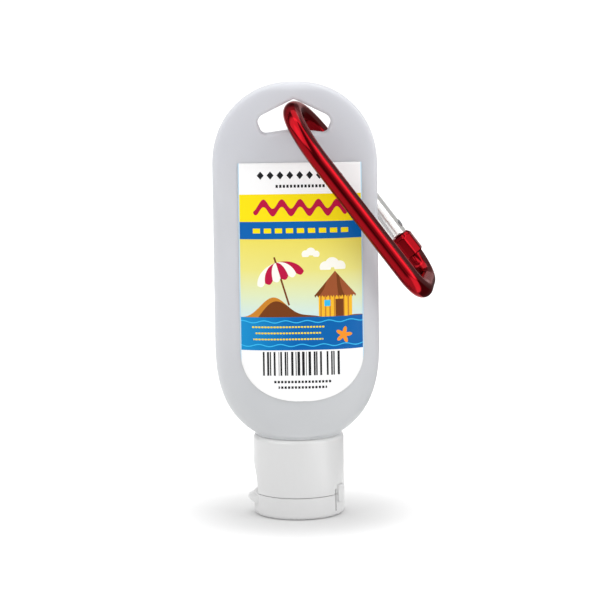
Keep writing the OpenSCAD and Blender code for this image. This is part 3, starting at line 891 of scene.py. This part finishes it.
def plate(name, outline, thickness, material, body):
    # a flat outline in the hook's plane, given its thickness across the plane
    flat = np.array([[x, 0.0, z] for x, z in outline])
    rings = np.stack([flat + [0, -thickness / 2, 0], flat + [0, thickness / 2, 0]])
    piece = makeObject(name, *sealedGrid(inHook(rings)), material, body)
    fixNormals(piece)
    addBevel(piece, 0.12)
    markSharp(piece, 30)
    return piece


def makeTongues(material):
    # the nose's tongue has a round slot for the gate's pin; the pivot's ends in a round ear
    pinX, pinZ, r = gateX - hs["pinIn"], noseZ - hs["pinUnder"], hs["pin"] / 2 + hs["pinGap"]
    back, front, low, high = pinX - 1, pinX + 2, noseZ - hs["tongueLength"], noseZ + 1.2
    slot = [(back, pinZ - r), *arc(pinX, pinZ, r, -90, 90, 12), (back, pinZ + r)]
    nose = [*slot, (back, high), (front, high), (front, low), (back, low)]
    noseTongue = plate("noseTongue", nose[::-1], hs["tongue"], material, "hook")
    ear, inner, root = gateR - hs["gap"], hs["tongueIn"], blockZ - hs["tongueRoot"]
    start = 180 - math.degrees(math.acos(inner / ear))
    pivot = [(gateX - inner, root), *arc(gateX, pivotZ, ear, start, 0, 20), (gateX + ear, root)]
    return noseTongue, plate("pivotTongue", pivot, hs["tongue"], material, "hook")


redFinish = {
    "color": (143, 3, 16), "dark": (112, 2, 10), "edge": (0.8, 0.55, 0.55), "roughness": 0.12,
    "cloudScale": 0.25, "cloudShare": 0.4,
    "paintedFlankReflection": (140, 70, 70), "flankFrom": (0.73, 0.77), "flankRoughness": 0.2,     # a painted brown-grey reflection along the flanks, its place in shares of the radius
    "streakScale": 6.0, "streakStretch": (0.35, 30.0, 1.0), "bump": (0.05, 0.05),
    "coat": 0.1, "coatRoughness": 0.12,
}


def redAnodised(banded):
    # dyed aluminium: clear red metal under a hard film; the banded one has faint drawing lines
    # along the rod and a rougher band along its flanks, with a painted brown-grey reflection in it
    f = redFinish
    name = "redRod" if banded else "redAnodised"
    material, tree, shader = newMaterial(name, srgb(*f["color"]), f["roughness"], 1.0)
    place, _ = coordinates(tree)
    cloud = noise(tree, place, f["cloudScale"])
    red = blendColor(tree, cloud * f["cloudShare"], srgb(*f["color"]), srgb(*f["dark"]))
    rough = vary(cloud, f["roughness"], 0.06)
    if banded:
        uv = tree.nodes.new("ShaderNodeUVMap")
        uv.uv_map = "along"
        across = axesOf(tree, uv.outputs[0])[1]
        # painted reflection: a brown-grey band along both flanks of the rod, also a little rougher
        paintedFlankReflection = rise(across.size(), *f["flankFrom"])
        streak = noise(tree, uv.outputs[0], f["streakScale"], 3.0, f["streakStretch"])
        red = blendColor(tree, paintedFlankReflection, red, srgb(*f["paintedFlankReflection"]))
        rough = rough + streak * 0.05 + paintedFlankReflection * (f["flankRoughness"] - f["roughness"])
        addBump(tree, shader, streak, *f["bump"])
    finish(tree, shader, red, rough)
    shader.inputs["Specular Tint"].default_value = (*f["edge"], 1.0)
    shader.inputs["Coat Weight"].default_value = f["coat"]
    shader.inputs["Coat Roughness"].default_value = f["coatRoughness"]
    return material


hookRod = makeHookBody()
redMetal = redAnodised(False)
pivotBlock = makePivotBlock(redMetal)
tongues = makeTongues(redMetal)
for piece in (hookRod, pivotBlock, *tongues):
    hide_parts("hook_body")
print("hook made")

# cap, hinge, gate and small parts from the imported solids


def dressed(node, name, material, bevel, angle=30, flat=0.6, apart=0.002):
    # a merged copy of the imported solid, its edges broken: points closer than apart, in mm, become
    # one, and triangles that lie within flat degrees of each other become one face
    source = frame["nodes"][node]
    mesh = bpy.data.meshes.new(name)
    work = bmesh.new()
    work.from_mesh(source.data)
    bmesh.ops.remove_doubles(work, verts=work.verts, dist=apart * mm)
    bmesh.ops.dissolve_limit(work, angle_limit=math.radians(flat), verts=work.verts, edges=work.edges)
    for face in work.faces:
        face.smooth = True
    work.to_mesh(mesh)
    work.free()
    mesh.materials.append(material)
    piece = bpy.data.objects.new(name, mesh)
    scene.collection.objects.link(piece)
    markSharp(piece, angle)
    addBevel(piece, bevel, angle)
    body = next(b for b, members in frame["record"]["behaviour"]["bodies"].items() if node in members)
    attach(piece, body)
    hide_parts(node)


# colour, roughness; the peel is the fine unevenness that moulding leaves
plastics = {"capWhite": ((219, 219, 219), 0.3), "foamLiner": ((226, 230, 236), 0.8)}
peelFinish = {"color": (222, 224, 224), "share": 0.12, "scale": 1.1, "fineScale": 6.0, "bump": (0.3, 0.05),
              "scatter": (0.25, 0.0015)}
# colour, roughness, share of metal
metals = {
    "polishedAluminium": ((238, 237, 234), 0.2, 0.6), "rivetSteel": ((190, 191, 193), 0.28, 1.0),
    "pinSteel": ((186, 187, 190), 0.25, 1.0), "springSteel": ((165, 166, 170), 0.3, 1.0),
    "plungerBrass": ((205, 176, 104), 0.3, 1.0),
}
metalSpots = {"scale": 1.2, "share": 0.25, "darker": 0.8, "bump": (0.1, 0.03)}


def whitePlastic(name):
    # moulded polypropylene: almost white, with a soft sheen and a fine orange-peel
    color, roughness = plastics[name]
    f = peelFinish
    material, tree, shader = newMaterial(name, srgb(*color), roughness)
    place, _ = coordinates(tree)
    peel = noise(tree, place, f["scale"])
    fine = noise(tree, place, f["fineScale"])
    tone = blendColor(tree, peel * f["share"], srgb(*color), srgb(*f["color"]))
    finish(tree, shader, tone, vary(fine, roughness, 0.08))
    addBump(tree, shader, peel * 0.5 + fine * 0.2, *f["bump"])
    addScatter(shader, *f["scatter"])
    return material


def bareMetal(name):
    # a metal that is slightly darker in soft spots, which are also a little rougher
    color, roughness, metallic = metals[name]
    f = metalSpots
    material, tree, shader = newMaterial(name, srgb(*color), roughness, metallic)
    place, _ = coordinates(tree)
    spots = noise(tree, place, f["scale"], 3.0)
    tone = blendColor(tree, spots * f["share"], srgb(*color), srgb(*[v * f["darker"] for v in color]))
    finish(tree, shader, tone, vary(spots, roughness, 0.10))
    addBump(tree, shader, spots, *f["bump"])
    return material


springShape = {"outer": 1.4, "wire": 0.4, "turns": 9.5, "plunger": 5.0, "bore": 13.0, "fit": 0.05}


def makeSpring(material):
    # a round wire wound round the gate's bore, between the plunger and the bore's end
    s = springShape
    low = pivotZ + gateR - hs["gap"] + 2 * s["fit"] + s["plunger"]
    high = pivotZ + gateR + hs["gap"] + s["bore"] - s["fit"]
    wire, mean = s["wire"] / 2, s["outer"] - s["wire"] / 2
    t = np.linspace(0, 1, int(s["turns"] * 24))
    angle = (2 * math.pi * s["turns"] * t)[:, None]
    # the wire climbs a little slower near both ends
    climb = mix(low + wire, high - wire, mix(smooth(t), t, 0.8))[:, None]
    phi = np.linspace(0, 2 * math.pi, 10, endpoint=False)
    r = mean + wire * np.cos(phi)
    rings = np.stack([gateX + r * np.cos(angle), r * np.sin(angle), climb + wire * np.sin(phi)], axis=-1)
    spring = makeObject("gateSpring", *sealedGrid(inHook(rings)), material, "gate")
    fixNormals(spring)
    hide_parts("gate_spring")


rivetShape = {"shank": 0.65, "head": 1.05, "proud": 0.12}


def makeRivet(material):
    # a pin turned about the gate's pivot line, its flat heads almost flush with the tube
    head, proud = rivetShape["head"], rivetShape["proud"]
    profile = [(gateR + proud, 0.7 * head), (gateR + 0.8 * proud, 0.93 * head),
               (gateR + 0.3 * proud, head), (gateR - 0.05, head), (gateR - 0.05, rivetShape["shank"])]
    profile += [(-y, radius) for y, radius in profile[::-1]]
    y, radius = np.array(profile).T[..., None]
    phi = np.linspace(0, 2 * math.pi, 48, endpoint=False)
    rings = np.stack([gateX + radius * np.cos(phi), y + 0 * phi, pivotZ + radius * np.sin(phi)], axis=-1)
    rivet = makeObject("gateRivet", *sealedGrid(inHook(rings)), material, "hook")
    fixNormals(rivet)
    markSharp(rivet, 40)
    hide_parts("gate_rivet")


capWhite = whitePlastic("capWhite")
for node, name, edge in (("cap_base", "capSkirt", 0.08), ("flip_lid", "flipLid", 0.08),
                         ("hinge_film", "hingeFilm", 0.06), ("hinge_straps", "hingeStraps", 0.12)):
    dressed(node, name, capWhite, edge)
capThread = makeThread("capThread", threadShape["capWall"], -1,
                       threadShape["from"] + threadShape["lead"] / 2, threadShape["capTurns"],
                       capWhite, "cap", "cap_base")
dressed("cap_seal", "sealRing", whitePlastic("foamLiner"), 0.1)
dressed("hook_gate", "gateTube", bareMetal("polishedAluminium"), 0.12)
makeRivet(bareMetal("rivetSteel"))
dressed("gate_nose_pin", "nosePin", bareMetal("pinSteel"), 0.1)
makeSpring(bareMetal("springSteel"))
dressed("gate_plunger", "gatePlunger", bareMetal("plungerBrass"), 0.1)
print("cap and gate made")

# floor, world and lamps

# a span is the azimuth where a zone starts, is full, is still full, and ends, in radians, 0 towards
# the camera and positive to the right; a step is the place where it starts and where it is full
studio = {
    "floorSize": 30.0, "floorColor": 0.75,
    "farLift": 0.35, "farStep": (0.016, 0.05),       # the floor's own light, away from the part; without it the floor round the part is darker, a painted shadow over the real one
    "ambient": 1.12,
    "room": 0.3, "rightPanel": 3.2, "leftPanel": 2.8, "backdrop": 0.75,     # what metal sees
    "rightSpan": (0.2, 0.9, 1.05, 1.2), "leftSpan": (-1.9, -1.6, -0.35, -0.2),
    "leftStep": (0.08, 0.22), "backStep": (0.90, 0.94),
    "darkFloor": 0.16, "beamShare": 0.8,             # where metal sees no white floor
    "beamSpan": (0.0, 0.45, 1.05, 1.2), "beamStep": (-1.2, -0.6), "beamX": 0.035,
    "sideSpan": (1.05, 1.2, 2.95, 3.13), "sideStep": (0.036, 0.046),
    "frontSpan": (-0.7, -0.4, 0.0, 0.45), "frontStep": (-0.1, -0.28),
}


def emptyTree(owner):
    # a material's or the world's nodes, with none in it yet
    owner.use_nodes = True
    owner.node_tree.nodes.clear()
    return owner.node_tree


def span(azimuth, start, fullFrom, fullTo, end):
    # rises smoothly from the start to where it is full, and falls again to the end
    return rise(azimuth, start, fullFrom) * rise(azimuth, end, fullTo)


def rays(tree, *kinds):
    # 1 for a ray of any of these kinds
    path = tree.nodes.new("ShaderNodeLightPath")
    mask = Field(tree, path.outputs["Is " + kinds[0] + " Ray"])
    for kind in kinds[1:]:
        mask = mask.either(Field(tree, path.outputs["Is " + kind + " Ray"]))
    return mask


def mixShaders(tree, mask, first, second):
    # the first shader where the mask is 0 and the second where it is 1
    node = tree.nodes.new("ShaderNodeMixShader")
    for place, socket in enumerate((mask.socket, first, second)):
        tree.links.new(socket, node.inputs[place])
    return node.outputs[0]


def shine(tree, kind, strength):
    # light of one strength or of a field's, as an Emission or a Background shader
    node = tree.nodes.new("ShaderNode" + kind)
    if isinstance(strength, Field):
        tree.links.new(strength.socket, node.inputs["Strength"])
    else:
        node.inputs["Strength"].default_value = strength
    return node.outputs[0]


def makeFloor():
    half = studio["floorSize"] / 2
    points = np.array([[-half, -half, 0], [half, -half, 0], [half, half, 0], [-half, half, 0]]) / mm
    material = bpy.data.materials.new("floorWhite")
    tree = emptyTree(material)
    output = tree.nodes.new("ShaderNodeOutputMaterial")
    diffuse = tree.nodes.new("ShaderNodeBsdfDiffuse")
    diffuse.inputs["Color"].default_value = (studio["floorColor"],) * 3 + (1,)
    x, y, _ = axesOf(tree, tree.nodes.new("ShaderNodeTexCoord").outputs["Object"])
    # the glow fades out towards the part, so the floor round its foot is darker: a painted shadow over the
    # real one
    lift = rise((x * x + y * y).calc("SQRT"), *studio["farStep"]) * studio["farLift"]
    glow = shine(tree, "Emission", rays(tree, "Camera", "Glossy", "Transmission") * lift)
    white = tree.nodes.new("ShaderNodeAddShader")
    tree.links.new(diffuse.outputs[0], white.inputs[0])
    tree.links.new(glow, white.inputs[1])
    # metal sees the white sheet end in front of the camera's view and at its right,
    # with the right panel's light on it between the two
    azimuth = (x - studio["beamX"]).calc("ARCTAN2", y * -1.0)
    beam = span(azimuth, *studio["beamSpan"]) * rise(y, *studio["beamStep"])
    side = span(azimuth, *studio["sideSpan"]) * rise(x, *studio["sideStep"])
    front = span(azimuth, *studio["frontSpan"]) * rise(y, *studio["frontStep"])
    dark = shine(tree, "Emission", beam * studio["rightPanel"] * studio["beamShare"] + studio["darkFloor"])
    ending = rays(tree, "Glossy") * side.either(front).either(beam)
    tree.links.new(mixShaders(tree, ending, white.outputs[0], dark), output.inputs[0])
    floor = makeObject("floor", points, [[0, 1, 2, 3]], material, None, smooth=False)


def makeWorld():
    # plain and light to the camera; metal sees a light backdrop, a bright panel at the right,
    # another high at the left and a dim room between them
    world = bpy.data.worlds.new("studio")
    scene.world = world
    tree = emptyTree(world)
    output = tree.nodes.new("ShaderNodeOutputWorld")
    x, y, z = axesOf(tree, tree.nodes.new("ShaderNodeTexCoord").outputs["Generated"])
    azimuth = x.calc("ARCTAN2", y * -1.0)
    right = span(azimuth, *studio["rightSpan"]) * studio["rightPanel"]
    left = span(azimuth, *studio["leftSpan"]) * rise(z, *studio["leftStep"]) * studio["leftPanel"]
    room = right + left + rise(y, *studio["backStep"]) * studio["backdrop"] + studio["room"]
    ambient = shine(tree, "Background", studio["ambient"])
    light = mixShaders(tree, rays(tree, "Glossy"), ambient, shine(tree, "Background", room))
    seen = rays(tree, "Camera", "Transmission")
    tree.links.new(mixShaders(tree, seen, light, shine(tree, "Background", 1.0)), output.inputs[0])


# place, aim and size in metres, power in watts
lamps = {
    "leftBox": {"place": (-0.75, -0.55, 0.5), "aim": (0, 0, 0.06), "size": (0.5, 0.8), "power": 1.25},
    "rightBox": {"place": (0.8, -0.45, 0.45), "aim": (0, 0, 0.06), "size": (0.45, 0.8), "power": 1.85},
    "topBox": {"place": (0, 0.25, 1.05), "aim": (0, 0, 0.05), "size": (0.8, 0.8), "power": 3.8},
}


def makeLamp(name, place, aim, size, power):
    data = bpy.data.lights.new(name, "AREA")
    data.shape, data.energy = "RECTANGLE", power
    data.size, data.size_y = size
    lamp = bpy.data.objects.new(name, data)
    lamp.location = place
    lamp.rotation_mode = "QUATERNION"
    lamp.rotation_quaternion = (Vector(aim) - Vector(place)).to_track_quat("-Z", "Y")
    scene.collection.objects.link(lamp)


makeFloor()
makeWorld()
for name, lamp in lamps.items():
    makeLamp(name, **lamp)
print("studio made")
